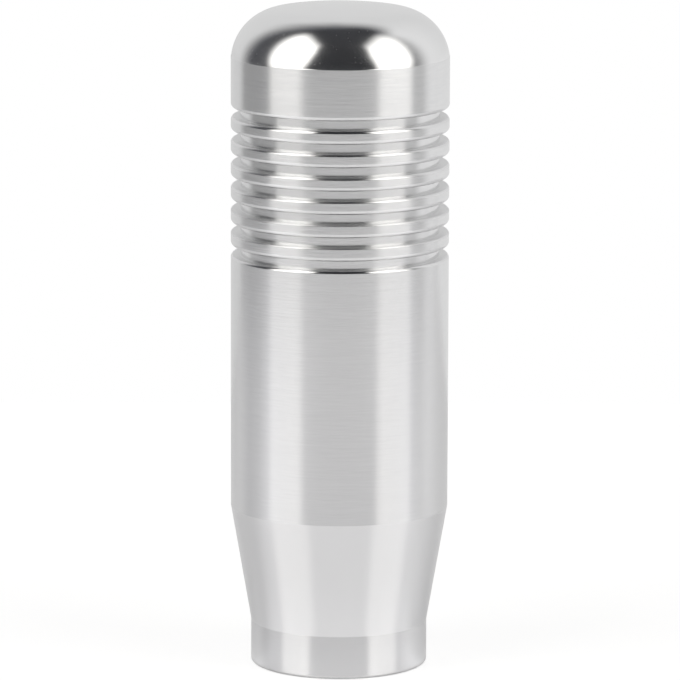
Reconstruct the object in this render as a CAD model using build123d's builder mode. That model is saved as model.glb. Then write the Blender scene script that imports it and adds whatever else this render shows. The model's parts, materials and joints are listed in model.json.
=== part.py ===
"""A gear shift knob: one aluminium billet turned on a lathe, grooved for the fingers and tapped for the lever.

The knob stands on its foot on the plane z = 0, with its axis along +Z. All sizes are in millimetres.
"""
import os
from math import acos, degrees, radians, sqrt, tan

from build123d import *

# Foot and taper
foot_diameter = 26.0
foot_height = 6.4
foot_edge_chamfer = 0.3
taper_height = 17.2

# Plain grip
grip_diameter = 32.0
grip_height = 37.17

# Finger grooves: a flat floor between square flanks, with a steep bevel at the lower lip and a broken upper lip
groove_count = 7
groove_floor_width = 1.32
groove_depth = 1.5
lower_lip_height = 0.38
lower_lip_depth = 0.24
upper_lip_chamfer = 0.5
rib_crest_width = 1.2

# Head: a plain band, then a round shoulder that runs into a shallow crown
band_height = 6.13
shoulder_radius = 7.9
crown_radius = 63.0

# Tapped hole for the lever, at the size of its tap drill
tap_drill_diameter = 8.5
tap_wall_length = 30.0
drill_point_angle = 118.0
mouth_diameter = 11.0
mouth_angle = 90.0

# Heights along the axis, from the foot up
taper_top = foot_height + taper_height
grip_top = taper_top + grip_height
groove_pitch = lower_lip_height + groove_floor_width + upper_lip_chamfer + rib_crest_width
band_bottom = grip_top + groove_count * groove_pitch - rib_crest_width
shoulder_start = band_bottom + band_height

# The crown is centred on the axis, and the shoulder's circle touches it from inside
foot_radius = foot_diameter / 2
grip_radius = grip_diameter / 2
shoulder_centre_radius = grip_radius - shoulder_radius
centre_distance = crown_radius - shoulder_radius
shoulder_angle = degrees(acos(shoulder_centre_radius / centre_distance))
crown_top = shoulder_start - sqrt(centre_distance**2 - shoulder_centre_radius**2) + crown_radius

# Depths of the tapped hole: its countersunk mouth, its straight wall and the cone left by the drill's point
tap_drill_radius = tap_drill_diameter / 2
mouth_radius = mouth_diameter / 2
mouth_depth = (mouth_radius - tap_drill_radius) / tan(radians(mouth_angle / 2))
wall_end = mouth_depth + tap_wall_length
drill_tip = wall_end + tap_drill_radius / tan(radians(drill_point_angle / 2))

with BuildPart() as knob_body:
    # Half section of the billet, turned about the axis
    with BuildSketch(Plane.XZ):
        with BuildLine():
            side = Polyline(
                (0, 0),
                (foot_radius, 0),
                (foot_radius, foot_height),
                (grip_radius, taper_top),
                (grip_radius, shoulder_start),
            )
            shoulder = JernArc(side @ 1, side % 1, shoulder_radius, shoulder_angle)
            crown = TangentArc(shoulder @ 1, (0, crown_top), tangent=shoulder % 1)
            Line(crown @ 1, side @ 0)
        make_face()
    revolve(axis=Axis.Z)

    # The foot's bottom edge is broken
    chamfer(knob_body.edges().filter_by(GeomType.CIRCLE).sort_by(Axis.Z)[0], foot_edge_chamfer)

    # Finger grooves at an even pitch, cut with their lips: each place is on the grip's side, level with a groove's floor
    first_floor = grip_top + lower_lip_height
    groove_places = [(grip_radius, first_floor + step * groove_pitch) for step in range(groove_count)]
    with BuildSketch(Plane.XZ):
        with Locations(*groove_places):
            Polygon(
                (groove_depth, -lower_lip_height),
                (0, -lower_lip_height),
                (-lower_lip_depth, 0),
                (-groove_depth, 0),
                (-groove_depth, groove_floor_width),
                (-upper_lip_chamfer, groove_floor_width),
                (0, groove_floor_width + upper_lip_chamfer),
                (groove_depth, groove_floor_width + upper_lip_chamfer),
                align=None,
            )
    revolve(axis=Axis.Z, mode=Mode.SUBTRACT)

    # Tapped hole for the lever, drilled and countersunk from the foot's face
    with BuildSketch(Plane.XZ):
        with BuildLine():
            Polyline(
                (0, 0),
                (mouth_radius, 0),
                (tap_drill_radius, mouth_depth),
                (tap_drill_radius, wall_end),
                (0, drill_tip),
                close=True,
            )
        make_face()
    revolve(axis=Axis.Z, mode=Mode.SUBTRACT)

knob_body.part.label = "knob_body"

os.makedirs("parts", exist_ok=True)
export_step(knob_body.part, "parts/knob_body.step")
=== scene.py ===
import json
from math import asin, atan2, cos, degrees, radians, sin, tan

import bpy
import numpy as np
from mathutils import Matrix, Vector


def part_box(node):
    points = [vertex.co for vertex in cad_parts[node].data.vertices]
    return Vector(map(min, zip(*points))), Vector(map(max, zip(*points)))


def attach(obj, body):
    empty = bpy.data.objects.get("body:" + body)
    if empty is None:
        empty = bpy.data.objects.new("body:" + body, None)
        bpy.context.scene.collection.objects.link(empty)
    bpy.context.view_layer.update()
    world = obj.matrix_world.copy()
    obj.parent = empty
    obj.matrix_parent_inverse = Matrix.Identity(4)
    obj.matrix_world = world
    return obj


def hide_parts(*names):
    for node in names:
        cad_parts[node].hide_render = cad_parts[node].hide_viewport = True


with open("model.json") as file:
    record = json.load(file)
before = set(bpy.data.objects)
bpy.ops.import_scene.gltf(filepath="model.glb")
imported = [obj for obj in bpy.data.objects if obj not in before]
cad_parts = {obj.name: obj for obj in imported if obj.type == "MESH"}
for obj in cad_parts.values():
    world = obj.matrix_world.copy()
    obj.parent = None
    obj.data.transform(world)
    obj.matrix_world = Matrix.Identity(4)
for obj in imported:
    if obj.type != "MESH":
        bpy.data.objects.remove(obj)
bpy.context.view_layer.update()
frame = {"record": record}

scene = bpy.context.scene

# The knob is one aluminium bar, turned in a lathe from foot to dome and drilled from below. Its half section
# is a row of cuts in millimetres, as (distance from the axis, height), from the tip of the drilled hole down
# its wall, round the foot and up to the top of the dome. Each cut leaves a finish of its own on the metal.
MM = 0.001
TURNED, POLISHED, TAPPED = range(3)
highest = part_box("knob_body")[1]
grip_radius = highest.x / MM
knob_height = highest.z / MM
cuts = []


def add_cut(points, finish):
    """Adds one cut to the section: its points and its finish. A finish is the kind of metal surface, how far
    it spreads light, and how deep the lines are that the tool left in it."""
    cuts.append((np.array(points, float), finish))


def straight(start, end, ring_gap=0.04):
    """Points of a straight cut, without its start: start plus a share of the way to the end. A point close to
    each end keeps the shading flat up to the corner."""
    start, end = np.array(start, float), np.array(end, float)
    near = ring_gap / np.hypot(*(end - start))
    return start + np.array([[near], [1 - near], [1]]) * (end - start)


def arc(centre, radius, first, last, steps):
    """Points of a round cut, without its start: the centre plus the radius times the cosine and sine of an
    angle that goes from first to last in even steps. 0 degrees points away from the axis, and 90 degrees
    up."""
    angle = np.radians(np.linspace(first, last, steps + 1)[1:, None])
    return np.array(centre) + radius * np.hstack([np.cos(angle), np.sin(angle)])


# The hole for the gear lever is drilled into the foot's face, countersunk and tapped M10. Its wall is cut at
# the tap drill's size, and the thread is wound into it once the section is turned.
lever_thread = next(mount for mount in frame["record"]["mounts"] if mount["name"] == "lever_thread")
drill_radius = lever_thread["dims"]["r_mm"]
drill_tip, wall_end = 33.804, 31.25
mouth_radius = 5.5
wall_rings = 167
drilled = (TAPPED, 0.35, 1.0)
wall_heights = np.linspace(wall_end, 0, wall_rings + 1)[1:]
add_cut(straight((0, drill_tip), (drill_radius, wall_end)), drilled)
first_wall_ring = sum(len(points) for points, finish in cuts)
add_cut(np.column_stack([np.full_like(wall_heights, drill_radius), wall_heights]), drilled)

# The foot is a short straight collar with a broken bottom edge and a faced underside. A tool with a round
# nose runs from it into the taper, which widens to the full bar at the bottom of the grip.
foot_radius, foot_height, foot_edge = 13.0, 6.4, 0.45
taper_top = 23.6
nose_radius = 1.2
faced = (TURNED, 0.2, 1.5)
foot_turned = (TURNED, 0.155, 0.4)
taper_angle = degrees(atan2(grip_radius - foot_radius, taper_top - foot_height))
nose_start = foot_height - nose_radius * tan(radians(taper_angle / 2))
nose_centre = (foot_radius + nose_radius, nose_start)
add_cut(straight((mouth_radius, 0), (foot_radius - foot_edge, 0)), faced)
add_cut(arc((foot_radius - foot_edge, foot_edge), foot_edge, -90, 0, steps=9), foot_turned)
add_cut(straight((foot_radius, foot_edge), (foot_radius, nose_start)), foot_turned)
add_cut(arc(nose_centre, nose_radius, 180, 180 - taper_angle, steps=4), foot_turned)
add_cut(straight((foot_radius, foot_height), (grip_radius, taper_top))[1:], foot_turned)

# The grip is the bar's full size, turned with a fine feed. Seven finger grooves are plunged into its top with
# a square tool. Each groove's upper lip is rounded over, and its lower lip is dressed by hand to a steep,
# slightly round bevel, so that the bevels differ in height and shine.
groove_floor, floor_width, groove_pitch, groove_count = 61.05, 1.42, 3.4, 7
groove_depth, upper_lip = 1.42, 0.6
lip_heights = (0.3, 0.19, 0.22, 0.27, 0.31, 0.28, 0.36)
lip_spreads = (0.14, 0.4, 0.46, 0.31, 0.29, 0.26, 0.17)
lip_marks = 1.2
lip_start, lip_end = 20.0, 45.0
grip_turned = (TURNED, 0.155, 0.8)
rib_turned = (TURNED, 0.19, 1.6)
lower_flank, plunged_floor, upper_flank = (TURNED, 0.4, 1.0), (TURNED, 0.14, 1.0), (TURNED, 0.3, 1.0)
rounded_over = (TURNED, 0.2, 0.8)
floor_radius = grip_radius - groove_depth
# A short first and last step keep each bevel's shading apart from its neighbours'.
lip_edge = 0.02 * (lip_end - lip_start)
rib_bottom, rib_finish = taper_top, grip_turned
for step in range(groove_count):
    low = groove_floor + groove_pitch * step
    high = low + floor_width
    dressed = (TURNED, lip_spreads[step], lip_marks)
    lip_radius = lip_heights[step] / (sin(radians(lip_end)) - sin(radians(lip_start)))
    lip_centre_radius = grip_radius - lip_radius * cos(radians(lip_start))
    lip_top_radius = lip_centre_radius + lip_radius * cos(radians(lip_end))
    lip_centre = (lip_centre_radius, low - lip_radius * sin(radians(lip_end)))
    add_cut(straight((grip_radius, rib_bottom), (grip_radius, low - lip_heights[step])), rib_finish)
    add_cut(arc(lip_centre, lip_radius, lip_start, lip_start + lip_edge, steps=1), dressed)
    add_cut(arc(lip_centre, lip_radius, lip_start + lip_edge, lip_end - lip_edge, steps=9), dressed)
    add_cut(arc(lip_centre, lip_radius, lip_end - lip_edge, lip_end, steps=1), dressed)
    add_cut(straight((lip_top_radius, low), (floor_radius, low)), lower_flank)
    add_cut(straight((floor_radius, low), (floor_radius, high)), plunged_floor)
    add_cut(straight((floor_radius, high), (grip_radius - upper_lip, high)), upper_flank)
    rib_bottom, rib_finish = high + upper_lip, rib_turned
    add_cut(arc((grip_radius - upper_lip, rib_bottom), upper_lip, -90, 0, steps=8), rounded_over)

# The head is a plain band below a dome. The dome is a round shoulder that runs into a shallow crown. It is
# buffed to a mirror down to a crisp line, where the band's coarser turning lines begin.
shoulder_start, shoulder_radius, crown_radius, polish_start = 89.5, 7.9, 63.0, 90.375
band_turned, polish_line, buffed = (TURNED, 0.21, 1.2), (TURNED, 0.21, 0.0), (POLISHED, 0.16, 0.0)
shoulder_centre = (grip_radius - shoulder_radius, shoulder_start)
crown_centre = (0.0, knob_height - crown_radius)
shoulder_end = degrees(atan2(shoulder_centre[1] - crown_centre[1], shoulder_centre[0]))
polish_angle = degrees(asin((polish_start - shoulder_start) / shoulder_radius))
polish_edge = polish_angle + 0.25
polish_radius = shoulder_centre[0] + shoulder_radius * cos(radians(polish_angle))
band_end = polish_start - (grip_radius - polish_radius)
add_cut(straight((grip_radius, rib_bottom), (grip_radius, band_end)), band_turned)
add_cut([(polish_radius, polish_start)], polish_line)
add_cut(arc(shoulder_centre, shoulder_radius, polish_angle, polish_edge, steps=1), buffed)
add_cut(arc(shoulder_centre, shoulder_radius, polish_edge, shoulder_end, steps=40), buffed)
add_cut(arc(crown_centre, crown_radius, shoulder_end, 90, steps=14), buffed)

# The section is carried once round the axis. Its first and last points lie on the axis, so the hole's tip and
# the dome's top are single points, closed by fans.
SPOKES = 160
section = np.vstack([points for points, finish in cuts])
count = [len(points) for points, finish in cuts]
finishes = zip(*[finish for points, finish in cuts])
ring_metal, ring_roughness, ring_marks = (np.repeat(values, count) for values in finishes)
cut_length = np.cumsum(np.hypot(*np.diff(np.vstack([[0, drill_tip], section]), axis=0).T))
rings = section[:-1]
turn = np.arange(SPOKES) / SPOKES
radius = np.repeat(rings[:, :1], SPOKES, axis=1)

# Inside thread: a groove climbs the wall by one pitch a turn, as deep as the thread's major radius. It runs
# out below the drill's cone, and the countersunk mouth cuts over its lower end.
thread_pitch, thread_major, thread_angle, run_out_start, run_out = 1.5, 5.0, 60, 1.5, 2.5
wall = slice(first_wall_ring, first_wall_ring + wall_rings)
height = rings[wall, 1][:, None]
from_middle = np.abs((height / thread_pitch - turn) % 1 - 0.5) * thread_pitch
half_flat = thread_pitch / 16
full_depth = thread_major - drill_radius
depth = np.clip(full_depth + (half_flat - from_middle) / tan(radians(thread_angle / 2)), 0, full_depth)
depth *= np.clip((wall_end - run_out_start - height) / run_out, 0, 1)
radius[wall] = np.maximum(drill_radius + depth, mouth_radius - height)

heading = 2 * np.pi * turn
ring_height = np.repeat(rings[:, 1:], SPOKES, axis=1)
grid = np.stack([radius * np.cos(heading), radius * np.sin(heading), ring_height], axis=-1)
points = np.vstack([[0, 0, drill_tip], grid.reshape(-1, 3), [0, 0, knob_height]]) * MM
ring, spoke = (index.ravel() for index in np.indices((len(rings) - 1, SPOKES)))
after = (spoke + 1) % SPOKES
here, above = 1 + ring * SPOKES, 1 + (ring + 1) * SPOKES
quads = np.column_stack([here + spoke, here + after, above + after, above + spoke])
first = np.arange(SPOKES)
second = (first + 1) % SPOKES
last_ring = 1 + (len(rings) - 1) * SPOKES
tip_fan = np.column_stack([np.zeros_like(first), 1 + second, 1 + first])
top_fan = np.column_stack([last_ring + first, last_ring + second, np.full_like(first, len(points) - 1)])

knob_mesh = bpy.data.meshes.new("turned_knob")
knob_mesh.from_pydata(points.tolist(), [], quads.tolist() + tip_fan.tolist() + top_fan.tolist())
face_metal = np.concatenate([ring_metal[1:-1][ring], np.full(SPOKES, TAPPED), np.full(SPOKES, POLISHED)])
knob_mesh.polygons.foreach_set("material_index", face_metal.astype(np.int32))
knob_mesh.polygons.foreach_set("use_smooth", np.ones(len(face_metal), bool))

# Each point carries three values for its finish: how far along the section it lies, the finish's spread of
# light and the depth of its tool's lines. A flat map of the surface runs once round across, and along the
# section up.
for name, values in (("cut_length", cut_length), ("roughness", ring_roughness), ("tool_marks", ring_marks)):
    layer = knob_mesh.attributes.new(name, "FLOAT", "POINT")
    at_points = np.concatenate([values[:1], np.repeat(values[:-1], SPOKES), values[-1:]])
    layer.data.foreach_set("value", at_points.astype(np.float32))
share = cut_length / cut_length[-1]
quad_map = np.stack([
    np.column_stack([spoke, spoke + 1, spoke + 1, spoke]) / SPOKES,
    np.column_stack([share[ring], share[ring], share[ring + 1], share[ring + 1]]),
], axis=-1)
tip_map = np.stack([
    np.column_stack([first + 0.5, first + 1, first]) / SPOKES,
    np.tile([0, share[0], share[0]], (SPOKES, 1)),
], axis=-1)
top_map = np.stack([
    np.column_stack([first, first + 1, first + 0.5]) / SPOKES,
    np.tile([share[-2], share[-2], 1], (SPOKES, 1)),
], axis=-1)
flat_map = knob_mesh.uv_layers.new(name="OFBake")
corners = np.concatenate([quad_map.ravel(), tip_map.ravel(), top_map.ravel()])
flat_map.data.foreach_set("uv", corners.astype(np.float32))
knob_mesh.update()

knob = bpy.data.objects.new("turned_knob", knob_mesh)
scene.collection.objects.link(knob)
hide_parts("knob_body")
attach(knob, "root")


# Turned metal: bare aluminium with the fine lines that the lathe's tool left round the knob. Light spreads
# across them, along the knob's length, and they differ a little in depth, tint and spread.
def node(tree, kind, inputs=(), out=0, **settings):
    """Adds a shader node, gives it its settings, joins or sets its inputs by place or name, and returns one
    of its outputs."""
    made = tree.nodes.new("ShaderNode" + kind)
    for name, value in settings.items():
        setattr(made, name, value)
    for key, value in inputs.items() if isinstance(inputs, dict) else enumerate(inputs):
        if isinstance(value, bpy.types.NodeSocket):
            tree.links.new(value, made.inputs[key])
        else:
            made.inputs[key].default_value = value
    return made.outputs[out] if made.outputs else made


def sums(tree, operation, *values):
    """One step of arithmetic on values."""
    return node(tree, "Math", values, operation=operation)


def graded(tree, value, low_in, high_in, low_out, high_out, kind="LINEAR"):
    """A value carried from one range to another and held at its ends, in a straight line or a smooth step."""
    return node(tree, "MapRange", [value, low_in, high_in, low_out, high_out], interpolation_type=kind)


def blend(tree, share, dark, light):
    """A colour between two others: the share of the way from the dark one to the light one."""
    return node(tree, "Mix", {0: share, 6: (*dark, 1), 7: (*light, 1)}, out=2, data_type="RGBA")


def point_value(tree, name):
    """One of the values that the knob's points carry."""
    return node(tree, "Attribute", attribute_name=name, out=2)


def empty_tree(owner):
    """The cleared node tree of a finish, a lamp or a room."""
    owner.use_nodes = True
    owner.node_tree.nodes.clear()
    return owner.node_tree


def finish_tree(mesh, name):
    """The cleared node tree of a new finish, which takes the mesh's next material place."""
    finish = bpy.data.materials.new(name)
    mesh.materials.append(finish)
    return empty_tree(finish)


def tool_lines(tree, per_mm, per_metre):
    """Noise that changes fast along the section and slowly round the knob, so that it reads as a tool's
    lines: noise at the place across the axis times one rate, with the length along the section times another
    as its height."""
    along = sums(tree, "MULTIPLY", point_value(tree, "cut_length"), per_mm)
    place = node(tree, "TexCoord", out=3)
    around = node(tree, "VectorMath", [place, (per_metre, per_metre, 0)], operation="MULTIPLY")
    line_place = node(tree, "VectorMath", [around, node(tree, "CombineXYZ", [0, 0, along])], operation="ADD")
    return node(tree, "TexNoise", {"Vector": line_place, "Scale": 1, "Detail": 2, "Roughness": 0.6})


line_depth, line_reach, broad_share = 0.000006, 0.32, 0.8
dark_line, light_line = (0.82, 0.82, 0.825), (0.862, 0.862, 0.862)
tree = finish_tree(knob_mesh, "turned aluminium")
fine, broad = tool_lines(tree, per_mm=3.2, per_metre=300), tool_lines(tree, per_mm=0.9, per_metre=40)
marks = point_value(tree, "tool_marks")
fine = sums(tree, "MULTIPLY", sums(tree, "SUBTRACT", fine, 0.5), marks)
broad = sums(tree, "MULTIPLY", sums(tree, "SUBTRACT", broad, 0.5), marks)
relief = sums(tree, "MULTIPLY_ADD", broad, broad_share, fine)
grain = node(tree, "Bump", {"Strength": 1.0, "Distance": line_depth, "Height": relief})
tint = blend(tree, graded(tree, fine, -line_reach, line_reach, 0, 1), dark_line, light_line)
uneven = graded(tree, broad, -line_reach, line_reach, 0.93, 1.07)
rough = sums(tree, "MULTIPLY", uneven, point_value(tree, "roughness"))
turned = node(tree, "BsdfPrincipled", {
    "Base Color": tint, "Metallic": 1.0, "Roughness": rough, "Normal": grain,
    "Anisotropic": 0.83, "Anisotropic Rotation": 0.25,
    "Tangent": node(tree, "Tangent", direction_type="RADIAL", axis="Z"),
})
node(tree, "OutputMaterial", [turned])

# Polished metal: the dome, buffed on a wheel to a mirror. It keeps a little haze, and some dust has settled
# on it.
haze_per_metre, dust_per_metre, dust_spread = 300, 1800, 0.3
tree = finish_tree(knob_mesh, "polished aluminium")
place = node(tree, "TexCoord", out=3)
haze = node(tree, "TexNoise", {"Vector": place, "Scale": haze_per_metre, "Detail": 3})
from_speck = node(tree, "TexVoronoi", {"Vector": place, "Scale": dust_per_metre})
dust = graded(tree, from_speck, 0.08, 0.14, dust_spread, 0)
uneven = graded(tree, haze, 0.3, 0.7, 0.9, 1.1)
clean = sums(tree, "MULTIPLY", uneven, point_value(tree, "roughness"))
rough = sums(tree, "MAXIMUM", clean, dust)
tint = blend(tree, haze, (0.87, 0.87, 0.875), (0.9, 0.9, 0.9))
polished = node(tree, "BsdfPrincipled", {"Base Color": tint, "Metallic": 1.0, "Roughness": rough})
node(tree, "OutputMaterial", [polished])

# Tapped metal: the raw wall of the hole, as the drill and the tap left it. It is duller and greyer than the
# outside, with uneven lines round the wall.
tree = finish_tree(knob_mesh, "tapped aluminium")
grey = tool_lines(tree, per_mm=2.0, per_metre=60)
tint = blend(tree, grey, (0.66, 0.66, 0.67), (0.8, 0.8, 0.8))
uneven = graded(tree, grey, 0.3, 0.7, 0.85, 1.2)
rough = sums(tree, "MULTIPLY", uneven, point_value(tree, "roughness"))
tapped = node(tree, "BsdfPrincipled", {"Base Color": tint, "Metallic": 1.0, "Roughness": rough})
node(tree, "OutputMaterial", [tapped])

# The knob stands on a pale satin table top with a straight back edge. The camera sees it white, with the
# knob's soft shadow. The metal mirrors it a little brighter than the lamps make it: a painted glow that only
# reflections see is added on the table, with painted light in front and at the sides and a painted sheen
# towards each lamp, and it is left off right at the foot. It is clear from below and open under the foot, so
# that the foot's face can be seen.
table_radius, table_back, table_gap, opening_radius, table_corners = 0.4, 0.2, 0.00002, 0.012, 96
angle = np.linspace(0, 2 * np.pi, table_corners, endpoint=False)
circle = np.column_stack([np.cos(angle), np.sin(angle), 0 * angle])
rim, opening = table_radius * circle, opening_radius * circle
rim[:, 1] = np.minimum(rim[:, 1], table_back)
table_points = np.vstack([opening, rim]) - (0, 0, table_gap)
inner = np.arange(table_corners)
inner_next = (inner + 1) % table_corners
table_faces = np.column_stack([inner, inner + table_corners, inner_next + table_corners, inner_next])
table_mesh = bpy.data.meshes.new("table_top")
table_mesh.from_pydata(table_points.tolist(), [], table_faces.tolist())
table = bpy.data.objects.new("table_top", table_mesh)
scene.collection.objects.link(table)


def seen_by(tree, rays):
    """1 for rays of one kind, such as the camera's own or those that metal mirrors, and 0 for others."""
    return node(tree, "LightPath", out=f"Is {rays} Ray")


white, pale = (1, 1, 1, 1), (0.916, 0.915, 0.93, 1)
painted_glow_tint, shadow_grey = (0.97, 0.97, 1, 1), (0.35, 0.35, 0.35, 1)
tree = finish_tree(table_mesh, "pale table top")
satin = node(tree, "BsdfPrincipled", {"Base Color": pale, "Roughness": 0.2, "IOR": 1.5})

# The painted glow that only the metal mirrors is graded by the distance from the knob's axis in metres, and
# by the heading in degrees, from 0 towards the camera to 180 behind.
place = node(tree, "TexCoord", out=3)
from_knob = node(tree, "VectorMath", [place], out=1, operation="LENGTH")
x, y = (node(tree, "SeparateXYZ", [place], out=axis) for axis in range(2))
bearing = sums(tree, "DEGREES", sums(tree, "ARCTAN2", x, sums(tree, "MULTIPLY", y, -1)))
heading = sums(tree, "ABSOLUTE", bearing)
# Painted light on the table in front of the knob, a little more close to the foot, and at the far left and
# right.
near_foot, ahead = graded(tree, from_knob, 0.022, 0.04, 0.065, 0), graded(tree, heading, 50, 80, 1, 0)
at_foot = sums(tree, "MULTIPLY", near_foot, ahead)
front = sums(tree, "ADD", graded(tree, heading, 80, 125, 0.13, 0.02), at_foot)
far_left, far_right = graded(tree, x, -0.2, -0.05, 0.1, 0), graded(tree, x, 0.1, 0.2, 0, 0.05)
beside = graded(tree, heading, 115, 140, 1, 0)
sides = sums(tree, "MULTIPLY", sums(tree, "ADD", far_left, far_right), beside)
# Painted sheen: painted light on the table towards each lamp, which stands in for the lamps' reflection in
# the satin, stronger further from the knob.
to_lamp = sums(tree, "MINIMUM", graded(tree, heading, 40, 72, 0, 1), graded(tree, heading, 76, 92, 1, 0))
near_painted_sheen = graded(tree, from_knob, 0.025, 0.04, 0.07, 0)
far_painted_sheen = graded(tree, from_knob, 0.05, 0.1, 0.03, 0.15)
painted_sheen = sums(tree, "MULTIPLY", to_lamp, sums(tree, "ADD", near_painted_sheen, far_painted_sheen))
shine = sums(tree, "ADD", sums(tree, "ADD", front, sides), painted_sheen)
# The painted glow is left off right at the foot, so that the metal's edge mirrors the table's real shade
# there.
past_foot = graded(tree, from_knob, 0.0132, 0.0145, 0, 1)
shine = sums(tree, "MULTIPLY", shine, past_foot)
# Painted glow: a bluish white light on the table that only glossy rays see.
mirrored = node(tree, "Emission", [painted_glow_tint, sums(tree, "MULTIPLY", seen_by(tree, "Glossy"), shine)])
lit = node(tree, "AddShader", [satin, mirrored])

glow = node(tree, "Emission", [white, graded(tree, from_knob, 0.05, 0.5, 0.78, 0.93)])
seen = node(tree, "AddShader", [node(tree, "BsdfDiffuse", [shadow_grey]), glow])
top = node(tree, "MixShader", [seen_by(tree, "Camera"), lit, seen])
from_below = node(tree, "NewGeometry", out="Backfacing")
clear = node(tree, "BsdfTransparent", [white])
node(tree, "OutputMaterial", [node(tree, "MixShader", [from_below, top, clear])])


# Two tall soft panels stand at the left and right of the table, in front of the knob. Each is a lamp behind
# white cloth that fades towards its edges, which lean apart with height.
def placed(place, right, up):
    """The matrix that puts an object at a place, with its own X and Y axes along right and up."""
    return Matrix.Translation(place) @ Matrix((right, up, right.cross(up))).transposed().to_4x4()


def soft_panel(name, x, front, front_lean, tuck, back, back_lean, top, level):
    """An upright lamp that faces the knob, with a round upper front corner. Its light rises to the level
    across each edge by a smooth step. The front and back edges lie at a start plus a lean times the height,
    and the front edge is tucked in towards the bottom."""
    panel_depth, panel_height, panel_middle = 1.3, 1.5, -0.3
    cloth = (1, 0.985, 0.952, 1)
    tuck_full, tuck_end = 0.05, 0.35
    front_out, front_in, top_in, top_out = -0.08, 0.1, 0.4, 0.3
    back_width, back_widening = 0.06, 0.2
    bottom_out, bottom_in = -0.03, 0.2
    lamp = bpy.data.lights.new(name, "AREA")
    lamp.shape = "RECTANGLE"
    lamp.size, lamp.size_y = panel_depth, panel_height
    lamp.energy = np.pi * lamp.size * lamp.size_y
    tree = empty_tree(lamp)
    place = node(tree, "NewGeometry")
    y = node(tree, "SeparateXYZ", [place], out=1)
    z = node(tree, "SeparateXYZ", [place], out=2)
    tucked = graded(tree, z, tuck_full, tuck_end, tuck, 0)
    front_edge = sums(tree, "ADD", sums(tree, "MULTIPLY_ADD", z, front_lean, front), tucked)
    from_front = sums(tree, "SUBTRACT", y, front_edge)
    from_back = sums(tree, "SUBTRACT", sums(tree, "MULTIPLY_ADD", z, back_lean, back), y)
    past_front = graded(tree, from_front, front_out, front_in, 1, 0)
    past_top = graded(tree, z, top - top_in, top + top_out, 0, 1)
    near = graded(tree, sums(tree, "ADD", past_front, past_top), 0, 1, level, 0, "SMOOTHSTEP")
    past_back = sums(tree, "DIVIDE", from_back, sums(tree, "MULTIPLY_ADD", z, back_widening, back_width))
    far = graded(tree, past_back, -0.5, 0.5, 0, 1, "SMOOTHSTEP")
    above_bottom = graded(tree, z, bottom_out, bottom_in, 0, 1, "SMOOTHSTEP")
    light = sums(tree, "MULTIPLY", sums(tree, "MULTIPLY", near, far), above_bottom)
    node(tree, "OutputLight", [node(tree, "Emission", [cloth, light])])
    panel = bpy.data.objects.new(name, lamp)
    right = Vector((0, 1 if x > 0 else -1, 0))
    panel.matrix_world = placed((x, panel_middle, panel_height / 2), right, Vector((0, 0, 1)))
    panel.visible_camera = False
    scene.collection.objects.link(panel)


soft_panel(
    "left_panel", x=-0.4, front=-0.52, front_lean=-0.22, tuck=0.075,
    back=-0.095, back_lean=0.108, top=1.08, level=1.88,
)
soft_panel(
    "right_panel", x=0.4, front=-0.475, front_lean=-0.185, tuck=0.015,
    back=-0.082, back_lean=0.094, top=0.885, level=1.88,
)


# The room has a pale ground, and a pale backdrop behind the table that reaches round both sides. It is dim in
# front and overhead. Only the metal sees all this: the camera sees plain white, and the table gets an even
# fill light.
def between(tree, share, first, second):
    """A level between two others: the share of the way from the first to the second."""
    return node(tree, "Mix", {0: share, 2: first, 3: second}, data_type="FLOAT")


fill_level, white_level = 0.36, 1.0
room = bpy.data.worlds.new("studio")
scene.world = room
tree = empty_tree(room)

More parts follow.
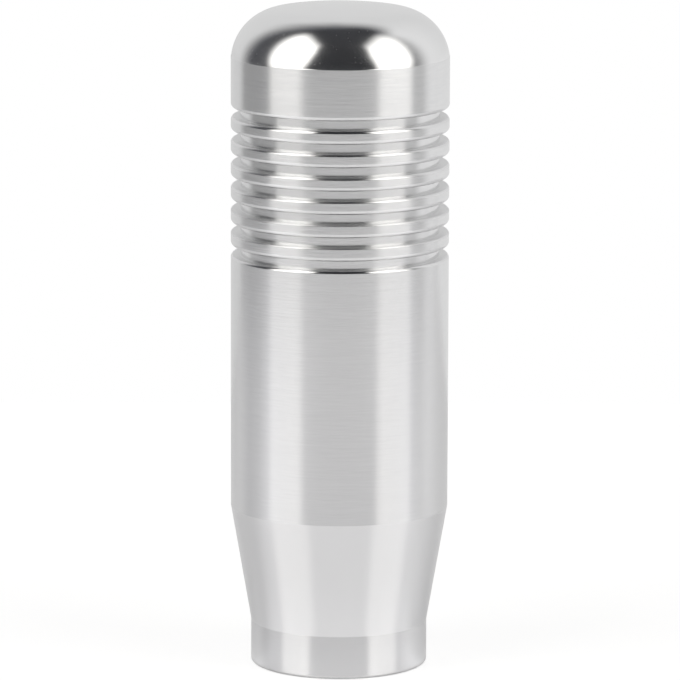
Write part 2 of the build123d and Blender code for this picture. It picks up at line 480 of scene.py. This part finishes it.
# Each level is graded by bearing, in degrees from the camera's side with the right positive, or by rise, in
# degrees above the ground.
look = node(tree, "TexCoord", out=0)
x, y, z = (node(tree, "SeparateXYZ", [look], out=axis) for axis in range(3))
bearing = sums(tree, "DEGREES", sums(tree, "ARCTAN2", x, sums(tree, "MULTIPLY", y, -1)))
rise = sums(tree, "DEGREES", sums(tree, "ARCSINE", z))
left_side = graded(tree, bearing, -60, -90, 0, 0.045, "SMOOTHSTEP")
left_wall = sums(tree, "ADD", left_side, graded(tree, bearing, -106, -136, 0, 0.635, "SMOOTHSTEP"))
right_side = graded(tree, bearing, 76, 112, 0, 0.775, "SMOOTHSTEP")
right_wall = sums(tree, "SUBTRACT", right_side, graded(tree, bearing, 116, 160, 0, 0.095))
fade_low = sums(tree, "ADD", graded(tree, bearing, -160, -120, 49, 19), graded(tree, bearing, -60, 60, 0, 33))
fade_left, fade_right = graded(tree, bearing, -60, 60, 84, 0), graded(tree, bearing, 110, 170, 70, 84)
wall_top = graded(tree, rise, fade_low, sums(tree, "MAXIMUM", fade_left, fade_right), 1, 0, "SMOOTHSTEP")
walls = sums(tree, "MULTIPLY", sums(tree, "MAXIMUM", left_wall, right_wall), wall_top)
dim = graded(tree, rise, 45, 88, 0.03, 0.045)
front_ground = graded(tree, bearing, -75, -10, 0.33, 0.54)
right_ground = graded(tree, bearing, -60, 60, 0, 0.07)
ground = sums(tree, "MAXIMUM", front_ground, sums(tree, "ADD", walls, right_ground))
above_ground = graded(tree, rise, -2, 1, 0, 1, "SMOOTHSTEP")
mirrored = between(tree, above_ground, ground, sums(tree, "ADD", walls, dim))
in_metal = sums(tree, "MAXIMUM", seen_by(tree, "Glossy"), seen_by(tree, "Transmission"))
unseen = between(tree, in_metal, fill_level, mirrored)
level = between(tree, seen_by(tree, "Camera"), unseen, white_level)
tint = blend(tree, graded(tree, level, 0.05, 0.3, 0, 1), (0.98, 1.0, 1.1), (1, 1, 1))
node(tree, "OutputWorld", [node(tree, "Background", [tint, level])])

# The camera stands a little above the knob, as in the photograph, with a long lens. It is tilted down and
# turned a little about its line of sight, and its picture is shifted by half a pixel at most.
picture_pixels, shift_right, shift_up = 680, 0.43, 0.5
camera_place = (0, -0.838586, 0.200944)
pitch, roll = radians(10.329), radians(0.171)
lens = bpy.data.cameras.new("camera")
lens.sensor_width = 36
lens.lens = 306.657
lens.clip_end = 20
lens.shift_x, lens.shift_y = shift_right / picture_pixels, shift_up / picture_pixels
camera = bpy.data.objects.new("camera", lens)
scene.collection.objects.link(camera)
scene.camera = camera
level_right, tilted_up = Vector((1, 0, 0)), Vector((0, sin(pitch), cos(pitch)))
right = cos(roll) * level_right + sin(roll) * tilted_up
up = cos(roll) * tilted_up - sin(roll) * level_right
camera.matrix_world = placed(camera_place, right, up)

scene.view_settings.view_transform = "Standard"
